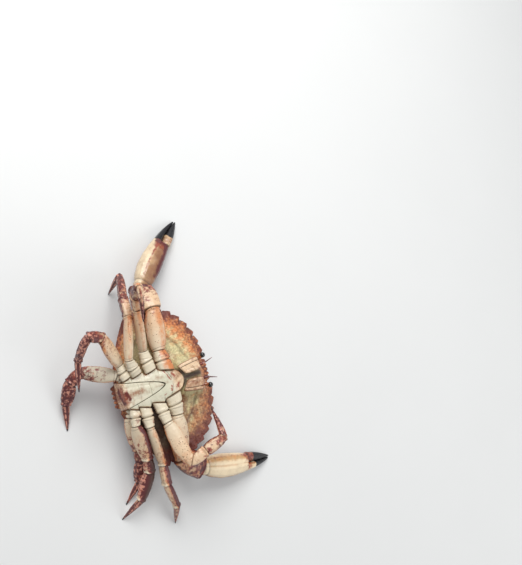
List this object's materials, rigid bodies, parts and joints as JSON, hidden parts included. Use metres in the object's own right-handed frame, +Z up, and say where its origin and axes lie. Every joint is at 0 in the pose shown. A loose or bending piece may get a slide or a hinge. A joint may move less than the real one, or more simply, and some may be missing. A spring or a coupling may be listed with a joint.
{
  "type": "rock crab",
  "caption": "Life-size crab lying on the dome of its broad toothed shell, underside up, with folded narrow abdomen, jointed legs spread and both claws reaching out.",
  "frame": {"origin": "middle of the footprint's bounding box, on the surface that the crab lies on", "axes": "+Z up, out of the crab's underside; +Y along the spread of the limbs, towards its right claw; +X roughly towards its mouth, which points 15.5 degrees from +X towards +Y"},
  "size_m": [0.2252, 0.3192, 0.0973],
  "materials": {
    "shell": "granular, brick red to orange",
    "cream": "smooth, cream white",
    "abdomen": "smooth, white-grey with brown mottling",
    "mottled": "smooth, maroon and orange mottling",
    "claw": "smooth, cream to orange",
    "finger": "glossy black",
    "eye": "glossy black"
  },
  "bodies": {
    "root": {"abdomen": "abdomen", "antenna_left": "mottled", "antenna_right": "mottled", "carapace": "shell", "eye_left": "eye", "eye_right": "eye", "left_cheliped_base": "cream", "left_cheliped_carpus": "mottled", "left_cheliped_finger": "finger", "left_cheliped_merus": "cream", "left_cheliped_palm": "claw", "left_leg2_base": "cream", "left_leg2_carpus": "mottled", "left_leg2_dactyl": "mottled", "left_leg2_merus": "cream", "left_leg2_propodus": "mottled", "left_leg3_base": "cream", "left_leg3_carpus": "mottled", "left_leg3_dactyl": "mottled", "left_leg3_merus": "cream", "left_leg3_propodus": "mottled", "left_leg4_base": "cream", "left_leg4_carpus": "mottled", "left_leg4_dactyl": "mottled", "left_leg4_merus": "cream", "left_leg4_propodus": "mottled", "left_leg5_base": "cream", "left_leg5_carpus": "mottled", "left_leg5_dactyl": "mottled", "left_leg5_merus": "cream", "left_leg5_propodus": "mottled", "maxilliped_left": "cream", "maxilliped_right": "cream", "right_cheliped_base": "cream", "right_cheliped_carpus": "mottled", "right_cheliped_finger": "finger", "right_cheliped_merus": "cream", "right_cheliped_palm": "claw", "right_leg2_base": "cream", "right_leg2_carpus": "mottled", "right_leg2_dactyl": "mottled", "right_leg2_merus": "cream", "right_leg2_propodus": "mottled", "right_leg3_base": "cream", "right_leg3_carpus": "mottled", "right_leg3_dactyl": "mottled", "right_leg3_merus": "cream", "right_leg3_propodus": "mottled", "right_leg4_base": "cream", "right_leg4_carpus": "mottled", "right_leg4_dactyl": "mottled", "right_leg4_merus": "cream", "right_leg4_propodus": "mottled", "right_leg5_base": "cream", "right_leg5_carpus": "mottled", "right_leg5_dactyl": "mottled", "right_leg5_merus": "cream", "right_leg5_propodus": "mottled", "sternum": "cream", "telson": "abdomen"}
  },
  "joints": []
}
